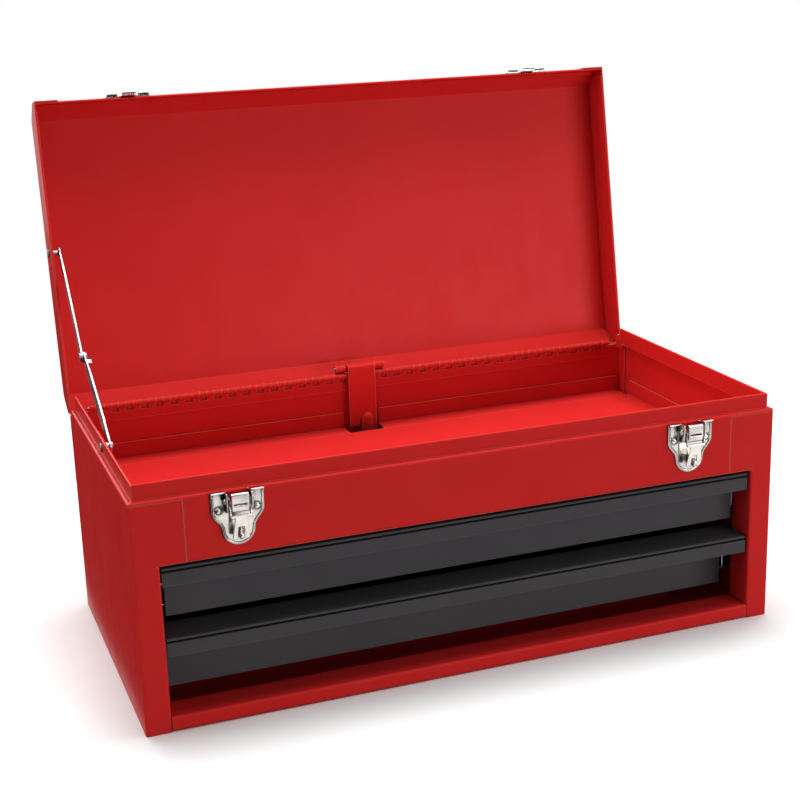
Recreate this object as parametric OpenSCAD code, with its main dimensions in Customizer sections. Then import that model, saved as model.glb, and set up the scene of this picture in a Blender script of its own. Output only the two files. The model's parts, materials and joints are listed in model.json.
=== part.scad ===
// Portable steel tool box: a folded body with a top tray, a lid on a piano hinge,
// two drawers on rails, two draw latches, a folding lid stay and a drawer lock strap.
// Millimetres. X runs across the box, the front faces -Y, +Z is up.
// The origin is the middle of the base, on the floor. The lid is drawn open on its stay.

/* [Body] */
// Width of the body over its side panels
body_w = 520; // [500:1:560]
// Depth of the body from front face to back face
body_d = 256; // [250:1:280]
// Height of the body from the floor to the shoulder
body_h = 179; // [177:1:190]
// Thickness of the steel sheet
sheet = 1; // [0.8:0.05:1.1]
// Middle radius of an ordinary fold
fold_r = 1.5; // [1.2:0.1:1.8]
// Width of the flat shoulder outside the rim
shoulder_w = 4; // [3.6:0.1:5]
// Height of the rim above the shoulder
rim_h = 12; // [10:0.5:12.5]
// Depth of the hem turned down inside the rim
rim_hem = 14; // [12:0.5:15]
// Depth of the relief behind the rim, where the lid turns
rim_relief = 10; // [9:0.5:14]

/* [Drawer opening] */
// Height of the top of the drawer opening
opening_top = 129.5; // [129:0.5:132]
// Width of the corner post beside the opening
post_w = 19.4; // [18:0.1:20]
// Depth of the post's inner return
post_return = 25; // [15:1:25]
// Width of the side panel's lap above the opening
lap_w = 39; // [34:1:46]
// Height of the shoulder above the top of the lap
lap_drop = 2.4; // [2.4:0.1:4]
// Open seam between butted panels
seam = 0.3; // [0.2:0.05:0.4]
// Height of the sill under the drawers
sill_h = 12; // [10:0.5:14]
// Depth of the sill's top flange
sill_flange = 24; // [16:1:26]
// Width of the spot welded flanges
weld_flange = 12; // [8:1:12]

/* [Tray] */
// Height of the tray floor's turned up flanges
tray_flange = 14; // [10:1:16]
// Relief beside the ledges in the back corners of the tray
tray_relief = 1; // [0.5:0.5:3]

/* [Lid] */
// Height of the lid above the shoulder
lid_rise = 30; // [28:1:36]
// Overhang of the lid in front of the body
lid_over = 2.5; // [2:0.1:3]
// Height of the lid's upright skirt
lid_skirt = 13; // [12.5:0.5:15]
// Setback of the lid's top from its skirt
lid_slope = 13.5; // [10:0.5:16]
// Middle radius of the lid's folds
lid_fold_r = 2.5; // [2:0.1:3]
// Angle that the lid is open, from closed
lid_open = 99.5; // [92:0.5:100]
// Gap between the closed lid and the shoulder
lid_gap = 0.4; // [0.3:0.05:0.5]
// Depth of the hem inside the lid's front edge
lid_hem = 10; // [6:0.5:11]
// Depth of the hem inside the lid's end edges
end_hem = 8; // [5:0.5:9]
// Width of the end cap's flange round the lid's front corner
corner_flange = 19.5; // [14:0.5:24]
// Relief of the end caps in front of the hinge pin and above it
end_relief = [6, 7]; // [5:0.5:8]

/* [Piano hinge] */
// Pitch of the hinge knuckles
knuckle_pitch = 6.35; // [6.2:0.05:6.4]
// Number of knuckles
knuckles = 77; // [61:2:77]
// Outer radius of a knuckle
knuckle_r = 2.4; // [2.2:0.05:2.5]
// Radius of the hinge pin
hinge_pin_r = 1.2; // [1:0.05:1.3]
// Radial play of the hinge pin
hinge_play = 0.08; // [0.05:0.01:0.1]
// Gap between neighbouring knuckles
knuckle_gap = 0.4; // [0.3:0.05:0.6]
// Height of each hinge leaf from the pin
leaf_h = 14; // [12.5:0.5:14]
// Depth of the body leaf's notches below the pin
notch_drop = 6.2; // [5:0.2:7]
// Drop of the hinge pin below the shoulder
hinge_drop = 2; // [1.5:0.1:2.5]
// Height of the lid's back edge above the pin
hinge_clear = 4.5; // [4.45:0.05:4.8]
// Drop of the back panel's top edge below the pin
back_drop = 3.25; // [3.2:0.05:3.6]

/* [Folding stay] */
// Distance from the hinge pin to both of the stay's fixed pivots
stay_reach = 133; // [125:0.5:135]
// Height of the stay's body pivot above the hinge pin
stay_body_up = 7; // [6.5:0.1:7.5]
// Height of the stay's lid pivot above the hinge pin, lid closed
stay_lid_up = 17.8; // [17.6:0.1:19]
// Bow of the stay's elbow from the straight line when the lid is open
stay_bow = 15; // [8:0.5:18]
// Thickness of the stay arms
arm_t = 1.5; // [1.2:0.1:1.5]
// Width of the lower arm at its middle
lower_arm_w = 13; // [11:0.5:13.5]
// Width of the upper arm at its middle
upper_arm_w = 9.8; // [9.7:0.1:11]
// Radius of the arm ends
arm_end_r = 4.5; // [4:0.1:4.8]
// Radius of the stay's pivot pins
stay_pin_r = 2; // [1.6:0.1:2.2]
// Radius of a rivet head on the stay
stay_head_r = 3.4; // [3:0.1:3.5]
// Thickness of a rivet head on the stay
stay_head_t = 1.2; // [0.9:0.1:1.3]
// Gap between the rim and the stay, and between its arms
stay_gap = 0.35; // [0.3:0.05:0.4]
// Space between the inside of the rim and the upper arm
stay_inset = 1.7; // [1.3:0.1:2.2]

/* [Lock strap] */
// Width of the drawer lock strap
strap_w = 25; // [22:1:28]
// Thickness of the strap
strap_t = 1.2; // [1:0.1:1.4]
// Sideways place of the strap
strap_x = -3; // [-20:1:20]
// Distance of the strap's pin in front of the hinge pin, lid closed
strap_ahead = 6.5; // [6.4:0.1:7.5]
// Height of the strap's pin above the hinge pin, lid closed
strap_up = 1; // [0.6:0.1:1.5]
// Outer radius of the strap's roll and of its bracket's knuckles
strap_roll_r = 3.4; // [3.2:0.1:3.5]
// Radius of the strap's pin
strap_pin_r = 1.5; // [1.2:0.1:1.6]
// Width of each knuckle of the strap's bracket
strap_knuckle_w = 9; // [7:0.5:11]
// Height of the strap's lower end above the base, lid open
strap_foot = 122.5; // [121.5:0.5:124]
// Radius of the boss pressed into the strap
boss_r = 4.6; // [3.5:0.1:5]
// Height of the boss
boss_h = 15; // [10:0.5:16]
// Room round the strap in its slot through the tray floor
slot_room = 4; // [3:0.5:6]

/* [Drawers] */
// Height of the upper drawer's pull
upper_top = 126.2; // [125.8:0.1:126.6]
// Height of the lower drawer's pull
lower_top = 71.9; // [70:0.1:73]
// Height of the upper drawer's underside
upper_floor = 82.5; // [80:0.5:84]
// Height of the lower drawer's underside
lower_floor = 20; // [17:0.5:22]
// Setback of the pulls behind the front of the body
pull_setback = 3; // [2:0.5:6]
// Setback of the upper drawer's face
upper_face = 20; // [16:0.5:22]
// Setback of the lower drawer's face
lower_face = 34; // [28:0.5:36]
// Height of the pull's hanging lip with its bead
pull_h = 14; // [12:0.5:16]
// Height of the groove under the pull's bead
pull_groove = 1.4; // [1:0.1:1.8]
// Depth of the groove under the pull's bead
groove_depth = 3.5; // [3:0.1:4.5]
// Side play of a pull in the opening
pull_play = 1.3; // [1:0.1:2]
// Setback of a drawer face's ends behind the pull's ends
face_inset = 4; // [3:0.5:5]
// Width of the space for a rail beside a drawer
rail_space = 12.4; // [12.2:0.1:13]
// Drop of a drawer's walls below its pull
wall_drop = 11; // [10:0.5:14]
// Space between a drawer's back wall and the back of the body
drawer_back_gap = 23; // [20:1:30]
// Height of a fixed rail
rail_h = 20; // [18:0.5:21]
// Running gap between a drawer's rail and the fixed rail
rail_gap = 0.4; // [0.3:0.05:0.5]

/* [Draw latches] */
// Distance of each latch's middle from the side of the body
latch_inset = 77.5; // [65:0.5:110]
// Width of the latch base at its top
latch_w = 38.6; // [36:0.2:42]
// Height of the latch base
latch_h = 41; // [38:0.5:44]
// Thickness of the latch base
latch_t = 1.4; // [1.2:0.1:1.6]
// Radius of the latch base's lower end
latch_tip_r = 12; // [10.5:0.1:12.5]
// Width of the lever between its wings' outer faces
lever_w = 15.8; // [15.4:0.1:16.2]
// Thickness of the lever's and claw's plate
latch_plate = 1; // [0.9:0.05:1.1]
// Distance of the lever's pivot from the front of the body
lever_out = 6; // [5.8:0.1:6.4]
// Drop of the lever's pivot below the shoulder
lever_drop = 6.5; // [6:0.1:7]
// Radius of the lever's pivot rivets
lever_pin_r = 1.3; // [1.1:0.05:1.4]
// Length of the lever below its pivot
lever_len = 29; // [27:0.5:31]
// Distance of the claw's pin in front of the lever's pivot
claw_out = 2.5; // [2.3:0.1:2.8]
// Distance of the claw's pin below the lever's pivot
claw_down = 6; // [5.8:0.1:6.3]
// Radius of the claw's pin
claw_pin_r = 1.1; // [1:0.05:1.2]
// Outer radius of the claw's roll
claw_roll_r = 2.1; // [2:0.05:2.2]
// Radial play of the latch pins
latch_play = 0.06; // [0.04:0.01:0.08]
// Side play between the latch's pieces
latch_side_play = 0.6; // [0.4:0.05:0.7]
// Distance of a latch rivet from the latch's middle
latch_rivet_x = 14; // [13.6:0.1:14.4]
// Radius of a latch rivet's head
latch_rivet_r = 2.9; // [2.5:0.1:3.2]
// Gap between the claw and the catch
catch_gap = 0.6; // [0.4:0.05:0.8]

/* [Carrying handle] */
// Half the distance between the handle's legs
handle_half = 70; // [60:1:80]
// Length of the handle's legs
handle_reach = 38; // [34:1:44]
// Radius of the handle's rod
rod_r = 3; // [2.6:0.1:3.4]
// Radius of the handle's grip
grip_r = 7.5; // [6.5:0.1:8]
// Length of the handle's grip
grip_len = 104; // [90:1:110]
// Height of the handle's pivot above the lid
handle_up = 8.5; // [8.4:0.1:10]
// Thickness of the handle's brackets
bracket_t = 2; // [1.6:0.1:2.4]

/* [Hidden] */
$fn = 48;

red_paint = [0.72, 0.10, 0.11];
dark_paint = [0.24, 0.24, 0.25];
nickel = [0.80, 0.79, 0.76];
zinc = [0.72, 0.74, 0.75];
black_grip = [0.08, 0.08, 0.08];

// Half sizes, and the middle planes of the folded sheets
half_w = body_w / 2;
half_d = body_d / 2;
half_t = sheet / 2;
front_y = half_t - half_d;
back_y = half_d - half_t;
wall_x = half_w - half_t;
shoulder_z = body_h - half_t;
lap_top = body_h - lap_drop;
lid_front = -half_d - lid_over;
latch_x = half_w - latch_inset;

// A closed hem: its middle radius and the distance between its layers
hem_r = 0.55 * sheet;
hem_step = 2 * hem_r + 0.02 * sheet;
rim_fold_r = 0.8 * sheet;
rim_inset = shoulder_w + half_t;
rim_z = body_h + rim_h - half_t;

// Hinge pin, measured in the body
hinge_y = half_d - sheet - knuckle_r;
hinge_z = body_h - hinge_drop;
hinge_len = knuckles * knuckle_pitch;
back_top = hinge_z - back_drop;
rim_end = half_d - rim_relief;

// Lid, drawn closed and then swung open about the hinge pin
lid_foot = body_h + lid_gap;
lid_top = body_h + lid_rise;
skirt_top = body_h + lid_skirt;

// ---- Folded sheet ----

function unit(v) = v / norm(v);
function turn_of(u, v) = atan2(u.x * v.y - u.y * v.x, u.x * v.x + u.y * v.y);
// Runs reach this far into a bend that isn't square, so that the two always join
fold_lap = 0.01;
function square_turn(phi) = abs(abs(phi) - 90) < fold_lap;

// One straight run of a folded strip, trimmed at both ends for its bends
module run(a, b, trim_a, trim_b, t) {
  d = b - a;
  translate(a) rotate(atan2(d.y, d.x)) translate([trim_a, -t / 2]) square([norm(d) - trim_a - trim_b, t]);
}

// One bend at corner p, from direction u to direction v, with middle radius r
module bend(p, u, v, t, r) {
  phi = turn_of(u, v);
  start = p - u * r * tan(abs(phi) / 2);
  centre = start + sign(phi) * r * [-u.y, u.x];
  a = atan2(start.y - centre.y, start.x - centre.x);
  reach = 4 * (r + t);
  wedge = [[0, 0], [cos(a), sin(a)], 1.5 * [cos(a + phi / 2), sin(a + phi / 2)], [cos(a + phi), sin(a + phi)]];
  translate(centre) intersection() {
    difference() {
      circle(r + t / 2);
      circle(r - t / 2);
    }
    polygon(reach * wedge);
  }
}

// The section of a sheet folded along a path, with a radius for each inner corner
module folded(path, radii, t = sheet) {
  n = len(path);
  dirs = [for (i = [0 : n - 2]) unit(path[i + 1] - path[i])];
  turns = [for (i = [0 : n - 1]) (i == 0 || i == n - 1) ? 0 : turn_of(dirs[i - 1], dirs[i])];
  trims = [for (i = [0 : n - 1])
    (i == 0 || i == n - 1) ? 0 : radii[i - 1] * tan(abs(turns[i]) / 2) - (square_turn(turns[i]) ? 0 : fold_lap)];
  for (i = [0 : n - 2]) run(path[i], path[i + 1], trims[i], trims[i + 1], t);
  for (i = [1 : n - 2]) bend(path[i], dirs[i - 1], dirs[i], t, radii[i - 1]);
}

// A section in Y and Z drawn out along X, and one in X and Z drawn out along Y
module along_x(x0, x1) translate([x0, 0, 0]) rotate([90, 0, 90]) linear_extrude(x1 - x0) children();
module along_y(y0, y1) translate([0, y1, 0]) rotate([90, 0, 0]) linear_extrude(y1 - y0) children();
module block(a, b) translate(a) cube(b - a);
module rod_x(x0, x1, r, y = 0, z = 0) translate([x0, y, z]) rotate([0, 90, 0]) cylinder(r = r, h = x1 - x0);

// The right hand piece is the left hand one mirrored
module on_side(s) mirror([s > 0 ? 1 : 0, 0, 0]) children();
module lid_swing() translate([0, hinge_y, hinge_z]) rotate([-lid_open, 0, 0])
  translate([0, -hinge_y, -hinge_z]) children();

// ---- Body panels ----

// The rim's section from a shoulder corner, u being the distance inwards from the outer face
rim_path = [[rim_inset, shoulder_z], [rim_inset, rim_z], [rim_inset + hem_step, rim_z],
  [rim_inset + hem_step, rim_z - rim_hem]];

// Plan of the body with its two rounded front corners
module body_plan() {
  r = fold_r + half_t;
  translate([-half_w, r - half_d]) square([body_w, body_d - r]);
  translate([r - half_w, -half_d]) square([body_w - 2 * r, body_d]);
  for (s = [-1, 1]) translate([s * (half_w - r), r - half_d]) circle(r);
}

// What is cut off a rim at the left front corner: its front run, or its side run
module mitre(front) {
  size = half_d;
  corner = [-half_w, -half_d];
  other = front ? [corner.x + size, corner.y - size / 2] : [corner.x - size / 2, corner.y + size];
  back_off = front ? [-size / 2, -size / 2] : [-size / 2, -size / 2];
  translate([0, 0, lap_top]) linear_extrude(body_h)
    polygon([corner + back_off, other, corner + [size, size]]);
}

module side_panel(s) color(red_paint) on_side(s) intersection() {
  linear_extrude(body_h + rim_h) body_plan();
  difference() {
    union() {
      linear_extrude(opening_top - sheet)
        folded([[-wall_x, half_d], [-wall_x, front_y], [-half_w + post_w - half_t, front_y],
          [-half_w + post_w - half_t, -half_d + post_return]], [fold_r, fold_r]);
      translate([0, 0, opening_top - sheet]) linear_extrude(sheet)
        folded([[-wall_x, half_d], [-wall_x, front_y], [-half_w + post_w - fold_r, front_y]], [fold_r]);
      translate([0, 0, opening_top]) linear_extrude(lap_top - opening_top)
        folded([[-wall_x, half_d], [-wall_x, front_y], [-half_w + lap_w, front_y]], [fold_r]);
      difference() {
        along_y(-half_d, rim_end) translate([-half_w, 0])
          folded(concat([[half_t, lap_top], [half_t, shoulder_z]], rim_path),
            [fold_r, rim_fold_r, hem_r, hem_r]);
        mitre(true);
      }
    }
    block([-half_w - sheet, rim_end, back_top], [-half_w + lap_w, half_d + sheet, body_h + rim_h]);
    if (s < 0) rod_x(-half_w, lap_w - half_w, stay_pin_r, stay_body.x, stay_body.y);
  }
}
module side_panel_left() side_panel(-1);
module side_panel_right() side_panel(1);

module front_panel() color(red_paint) intersection() {
  linear_extrude(body_h + rim_h) body_plan();
  union() {
    difference() {
      along_x(-half_w, half_w) translate([-half_d, 0])
        folded(concat([[half_t + weld_flange, opening_top + half_t], [half_t, opening_top + half_t],
          [half_t, shoulder_z]], rim_path), [fold_r, fold_r, rim_fold_r, hem_r, hem_r]);
      for (s = [-1, 1]) on_side(s) {
        mitre(false);
        block([-half_w - sheet, -half_d - sheet, opening_top - sheet],
          [-half_w + lap_w + seam, -half_d + 2 * weld_flange, lap_top + seam]);
      }
    }
    // Joggled laps behind the side panels' front edges
    for (s = [-1, 1]) on_side(s)
      block([-half_w + 3 * sheet, -half_d + sheet, opening_top + 2 * sheet],
        [-half_w + lap_w + weld_flange / 2, -half_d + 2 * sheet, body_h - 2 * sheet]);
  }
}

module back_panel() color(red_paint) translate([0, 0, sheet]) linear_extrude(back_top - sheet)
  folded([[-wall_x + sheet, half_d - weld_flange], [-wall_x + sheet, back_y],
    [wall_x - sheet, back_y], [wall_x - sheet, half_d - weld_flange]], [fold_r, fold_r]);

module base_panel() color(red_paint) {
  sill_x = half_w - post_w - seam;
  floor_front = -half_d + post_return + seam;
  flange_y = half_d - sheet - half_t;
  union() {
    along_x(-sill_x, sill_x)
      folded([[front_y + sill_flange, sill_h - half_t], [front_y, sill_h - half_t],
        [front_y, half_t], [floor_front + weld_flange, half_t]], [fold_r, fold_r]);
    block([sheet - half_w, floor_front, 0], [half_w - sheet, half_d, sheet]);
    block([3 * sheet - half_w, flange_y - half_t, 0],
      [half_w - 3 * sheet, flange_y + half_t, sheet + weld_flange]);
    for (s = [-1, 1]) on_side(s)
      block([sheet - half_w, floor_front, 0], [2 * sheet - half_w, half_d - 2 * weld_flange, weld_flange]);
  }
}

// Places of the lock strap: its pin with the lid closed and open, its plate and its travel
strap_pin_shut = [hinge_y - strap_ahead, hinge_z + strap_up];
strap_pin_open = swung(strap_pin_shut);
strap_travel = strap_pin_open - strap_pin_shut;
strap_lead = strap_roll_r + 2.8;
strap_y = strap_pin_open.x - strap_lead;
slot_front = strap_y - strap_travel.x - boss_r - slot_room / 4;

// A point [y, z] of the closed lid, once the lid is open
function swung(p) = [hinge_y + (p.x - hinge_y) * cos(lid_open) + (p.y - hinge_z) * sin(lid_open),
  hinge_z - (p.x - hinge_y) * sin(lid_open) + (p.y - hinge_z) * cos(lid_open)];

tray_z = opening_top - half_t;
tray_side = wall_x - sheet;
module tray_floor() color(red_paint) along_y(front_y + 2 * sheet, slot_front)
  folded([[-tray_side, tray_z + tray_flange], [-tray_side, tray_z],
    [tray_side, tray_z], [tray_side, tray_z + tray_flange]], [fold_r, fold_r]);

// The floor's back edge lies on two ledges, which leave the strap's slot between them
ledge_end = half_w - 3 * sheet - tray_relief;
module tray_ledge(x0, x1) color(red_paint) along_x(x0, x1)
  folded([[slot_front - weld_flange, tray_z - sheet], [back_y - sheet, tray_z - sheet],
    [back_y - sheet, tray_z + tray_flange]], [fold_r]);
module tray_ledge_left() tray_ledge(-ledge_end, strap_x - strap_w / 2 - slot_room);
module tray_ledge_right() tray_ledge(strap_x + strap_w / 2 + slot_room, ledge_end);

// ---- Drawer rails ----

pull_x = half_w - post_w - pull_play;
pan_x = half_w - post_w - rail_space;
// The fixed rails start behind the post's return and behind the drawer's face
function rail_front(face) = -half_d + max(post_return + sheet, face + 3 * sheet);
rail_back = half_d - drawer_back_gap + 3 * sheet;
upper_rail_z = (upper_floor + upper_top - wall_drop) / 2;
lower_rail_z = (lower_floor + lower_top - wall_drop) / 2;
fixed_web_x = half_w - post_w - sheet / 5;
saddle = [16, 18];

// A fixed rail: a channel open to the drawer, on two saddles welded to the side panel
module runner(s, z, face) color(zinc) on_side(s) {
  along_y(rail_front(face), rail_back)
    folded([[-pan_x - 2.5 * sheet, z + rail_h / 2 - half_t], [-fixed_web_x + half_t, z + rail_h / 2 - half_t],
      [-fixed_web_x + half_t, z - rail_h / 2 + half_t], [-pan_x - 2.5 * sheet, z - rail_h / 2 + half_t]],
      [fold_r, fold_r]);
  for (y = [rail_front(face), rail_back - saddle.x]) difference() {
    block([sheet - half_w, y, z - saddle.y / 2], [-fixed_web_x, y + saddle.x, z + saddle.y / 2]);
    block([2 * sheet - half_w, y - sheet, z - saddle.y / 2 + sheet],
      [-fixed_web_x - sheet, y + saddle.x + sheet, z + saddle.y / 2 - sheet]);
  }
}
module runner_upper_left() runner(-1, upper_rail_z, upper_face);
module runner_upper_right() runner(1, upper_rail_z, upper_face);
module runner_lower_left() runner(-1, lower_rail_z, lower_face);
module runner_lower_right() runner(1, lower_rail_z, lower_face);

// A drawer's own rail, which runs inside the fixed one
module slide(s, z, face) color(zinc) on_side(s) {
  inner = rail_h / 2 - sheet - rail_gap - half_t;
  outer_x = -fixed_web_x + sheet + rail_gap;
  along_y(-half_d + face + 2 * sheet, half_d - drawer_back_gap - 2 * sheet)
    folded([[outer_x, z + inner], [-pan_x - half_t, z + inner], [-pan_x - half_t, z - inner],
      [outer_x, z - inner]], [fold_r, fold_r]);
}
module slide_upper_left() slide(-1, upper_rail_z, upper_face);
module slide_upper_right() slide(1, upper_rail_z, upper_face);
module slide_lower_left() slide(-1, lower_rail_z, lower_face);
module slide_lower_right() slide(1, lower_rail_z, lower_face);

// ---- Drawers ----

module drawer_pan(floor_z, top, face) color(dark_paint) {
  side = pan_x - half_t;
  wall_top = top - wall_drop;
  front = -half_d + face + sheet;
  back = half_d - drawer_back_gap;
  along_y(front, back)
    folded([[-side, wall_top], [-side, floor_z + half_t], [side, floor_z + half_t], [side, wall_top]],
      [fold_r, fold_r]);
  block([-side, back - sheet, floor_z + fold_r], [side, back, wall_top]);
}
module drawer_upper_pan() drawer_pan(upper_floor, upper_top, upper_face);
module drawer_lower_pan() drawer_pan(lower_floor, lower_top, lower_face);

// A drawer's front sheet: face, top flange, hemmed bead, groove and hanging lip
module drawer_front(floor_z, top, face) color(dark_paint) {
  face_y = -half_d + face + half_t;
  lip_y = -half_d + pull_setback + half_t;
  bead = hem_step;
  groove = bead + pull_groove + sheet;
  top_z = top - half_t;
  union() {
    along_x(face_inset - pull_x, pull_x - face_inset)
      folded([[face_y, floor_z], [face_y, top_z], [(face_y + lip_y) / 2, top_z]], [fold_r]);
    along_x(-pull_x, pull_x)
      folded([[face_y - fold_r, top_z], [lip_y, top_z], [lip_y, top_z - bead],
        [lip_y + groove_depth, top_z - bead], [lip_y + groove_depth, top_z - groove],
        [lip_y, top_z - groove], [lip_y, top - pull_h]], [hem_r, hem_r, hem_r, hem_r, hem_r]);
  }
}
module drawer_upper_front() drawer_front(upper_floor, upper_top, upper_face);
module drawer_lower_front() drawer_front(lower_floor, lower_top, lower_face);

// ---- Piano hinge ----

// One hinge leaf: its knuckles are every second one, and its plate is notched for the others
module hinge_leaf(first, clear, up) {
  start = -hinge_len / 2;
  plate_y = hinge_y + knuckle_r - sheet;
  difference() {
    union() {
      for (i = [first : 2 : knuckles - 1]) {
        x0 = start + i * knuckle_pitch + knuckle_gap / 2;
        rod_x(x0, x0 + knuckle_pitch - knuckle_gap, knuckle_r, hinge_y, hinge_z);
        block([x0, plate_y, hinge_z - (up ? 0 : clear + sheet)],
          [x0 + knuckle_pitch - knuckle_gap, plate_y + sheet, hinge_z + (up ? clear + sheet : 0)]);
      }
      block([start, plate_y, hinge_z + (up ? clear : -leaf_h)],
        [-start, plate_y + sheet, hinge_z + (up ? leaf_h : -clear)]);
    }
    rod_x(start - sheet, sheet - start, hinge_pin_r + hinge_play, hinge_y, hinge_z);
  }
}
module hinge_body_leaf() color(red_paint) hinge_leaf(0, notch_drop, false);
module hinge_lid_leaf() color(red_paint) lid_swing() hinge_leaf(1, hinge_clear, true);
module hinge_pin() color(zinc) rod_x(-hinge_len / 2 - sheet, hinge_len / 2 + sheet, hinge_pin_r, hinge_y, hinge_z);

// ---- Lid ----

lid_back_foot = hinge_z + hinge_clear;

// The lid's middle line: up the front skirt, over the top, and down the back skirt
lid_front_y = lid_front + half_t;
lid_line = [
  [lid_front_y, lid_foot + half_t],
  [lid_front_y, skirt_top],
  [lid_slope + lid_front, lid_top - half_t],
  [half_d - lid_slope, lid_top - half_t],
  [back_y, skirt_top],
  [back_y, lid_back_foot]
];
lid_radii = [lid_fold_r, lid_fold_r, lid_fold_r, lid_fold_r];
function left_of(i) = let(d = unit(lid_line[i + 1] - lid_line[i])) [-d.y, d.x];
// A corner of the lid's outer face, drawn square
function outer_corner(i) = lid_line[i]
  + half_t * (left_of(i - 1) + left_of(i)) / (1 + left_of(i - 1) * left_of(i));

module lid_panel() color(red_paint) lid_swing() along_x(sheet - half_w, half_w - sheet)
  folded(concat([[lid_front_y + hem_step, lid_foot + lid_hem], [lid_front_y + hem_step, lid_foot + half_t]],
    lid_line), concat([hem_r, hem_r], lid_radii));

// An end cap: a plate inside the corner flange that wraps round the lid's front
module lid_end(s) color(red_paint) lid_swing() on_side(s) difference() {
  union() {
    along_x(-half_w, sheet - half_w) polygon(concat(
      [[2 * sheet + lid_front, lid_foot], [2 * sheet + lid_front, skirt_top], [lid_front, skirt_top]],
      [for (i = [1 : 4]) outer_corner(i)],
      // Relief round the hinge
      [[half_d, hinge_z + end_relief.y], [hinge_y - end_relief.x, hinge_z + end_relief.y],
        [hinge_y - end_relief.x, lid_foot]]));
    translate([0, 0, lid_foot]) linear_extrude(skirt_top - lid_foot)
      folded([[-wall_x, 4 * sheet + lid_front], [-wall_x, lid_front_y - sheet],
        [corner_flange - half_w, lid_front_y - sheet]], [hem_r]);
    // Flange inside the lid's back skirt
    block([-half_w + half_t, half_d - 2 * sheet, hinge_z + end_relief.y],
      [-hinge_len / 2 - 2 * sheet, half_d - sheet, skirt_top - fold_r]);
    // Hem along the open edge
    along_y(8 * sheet + lid_front, hinge_y - 2 * end_relief.x)
      folded([[-wall_x, lid_foot + 2 * sheet], [-wall_x, lid_foot + half_t],
        [hem_step - wall_x, lid_foot + half_t], [hem_step - wall_x, lid_foot + end_hem]], [hem_r, hem_r]);
  }
  if (s < 0) rod_x(-half_w - sheet, lap_w - half_w, stay_pin_r, stay_lid_shut.x, stay_lid_shut.y);
}
module lid_end_left() lid_end(-1);
module lid_end_right() lid_end(1);

// ---- Draw latches ----

// Every latch piece is drawn at the middle of the box, then placed at its own latch
module at_latch(s) translate([s * latch_x, -half_d, 0]) children();

pivot_z = body_h - lever_drop;
claw_pin_out = lever_out + claw_out;
claw_pin_z = pivot_z - claw_down;
wing_in = lever_w / 2 - latch_plate;
ear_in = lever_w / 2 + latch_side_play;
ear_t = 1.2 * latch_plate;
claw_half = wing_in - latch_side_play;
base_top = body_h - sheet / 2;
base_foot = base_top - latch_h;
tip_z = base_foot + latch_tip_r;
rivet_z = base_top - latch_h / 3;
waist_top = rivet_z - latch_rivet_r / 2;
lever_foot_z = pivot_z - lever_len;

// Half width of the latch base at a height between its tip and its shoulders
function base_half(z) = latch_tip_r
  + (latch_w / 2 - latch_tip_r) * (1 - cos(180 * (z - tip_z) / (waist_top - tip_z))) / 2;
base_steps = 14;
base_heights = [for (i = [0 : base_steps]) tip_z + (waist_top - tip_z) * i / base_steps];

module latch_base_outline() {
  notch = wing_in + latch_plate;
  difference() {
    union() {
      translate([-latch_w / 2, waist_top]) square([latch_w, base_top - waist_top]);
      polygon(concat([for (z = base_heights) [base_half(z), z]],
        [for (i = [base_steps : -1 : 0]) [-base_half(base_heights[i]), base_heights[i]]]));
      translate([0, tip_z]) circle(latch_tip_r);
    }
    translate([-notch, pivot_z - claw_down / 2]) square([2 * notch, 2 * lever_drop + claw_down]);
    for (s = [-1, 1]) translate([s * latch_rivet_x, rivet_z]) circle(latch_rivet_r / 2);
  }
}

// Section drawn with the distance out from the body as its first coordinate
module out_section(x0, x1) mirror([0, 1, 0]) along_x(x0, x1) children();

ear_top = base_top;
ear_foot = claw_pin_z - 1.5 * claw_roll_r;
ear_reach = lever_out + 2.4 * lever_pin_r;
ear_round = ear_reach / 2;
staple_out = 11;
staple_h = 7;
staple_z = lever_foot_z + staple_h / 2;
staple_hole_r = 1.7;

module latch_base(s) color(nickel) at_latch(s) union() {
  mirror([0, 1, 0]) rotate([90, 0, 0]) mirror([0, 0, 1]) linear_extrude(latch_t) latch_base_outline();
  // Ears that carry the lever
  for (e = [-1, 1]) difference() {
    out_section(e > 0 ? ear_in : -ear_in - ear_t, e > 0 ? ear_in + ear_t : -ear_in) union() {
      translate([0, ear_foot + ear_round]) square([ear_reach, ear_top - ear_foot - ear_round]);
      translate([0, ear_foot]) square([ear_reach - ear_round, ear_top - ear_foot]);
      translate([ear_reach - ear_round, ear_foot + ear_round]) circle(ear_round);
    }
    rod_x(-latch_w, latch_w, lever_pin_r + latch_play / 2, -lever_out, pivot_z);
  }
  // Turned out top edges
  for (e = [-1, 1]) mirror([e > 0 ? 1 : 0, 0, 0])
    block([-latch_w / 2, -latch_t * 3, base_top - latch_plate], [-ear_in - ear_t / 2, 0, base_top]);
  // Staple for a padlock, between the lever's prongs
  difference() {
    out_section(-latch_plate, latch_plate) union() {
      translate([0, staple_z - staple_h / 2]) square([staple_out - staple_h / 2, staple_h]);
      translate([staple_out - staple_h / 2, staple_z]) circle(staple_h / 2);
    }
    rod_x(-latch_w, latch_w, staple_hole_r, staple_h / 2 - staple_out, staple_z);
  }
}
module latch_base_left() latch_base(-1);
module latch_base_right() latch_base(1);

module rivet_y(r, grip) {
  rotate([90, 0, 0]) cylinder(r = r / 2 - latch_play / 2, h = grip);
  translate([0, -grip, 0]) intersection() {
    translate([0, r * 0.6, 0]) sphere(r * 1.17);
    rotate([90, 0, 0]) cylinder(r = r, h = r);
  }
}
module latch_rivets() color(nickel) for (s = [-1, 1]) at_latch(s)
  for (e = [-1, 1]) translate([e * latch_rivet_x, 0, rivet_z]) rivet_y(latch_rivet_r, latch_t);

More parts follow.
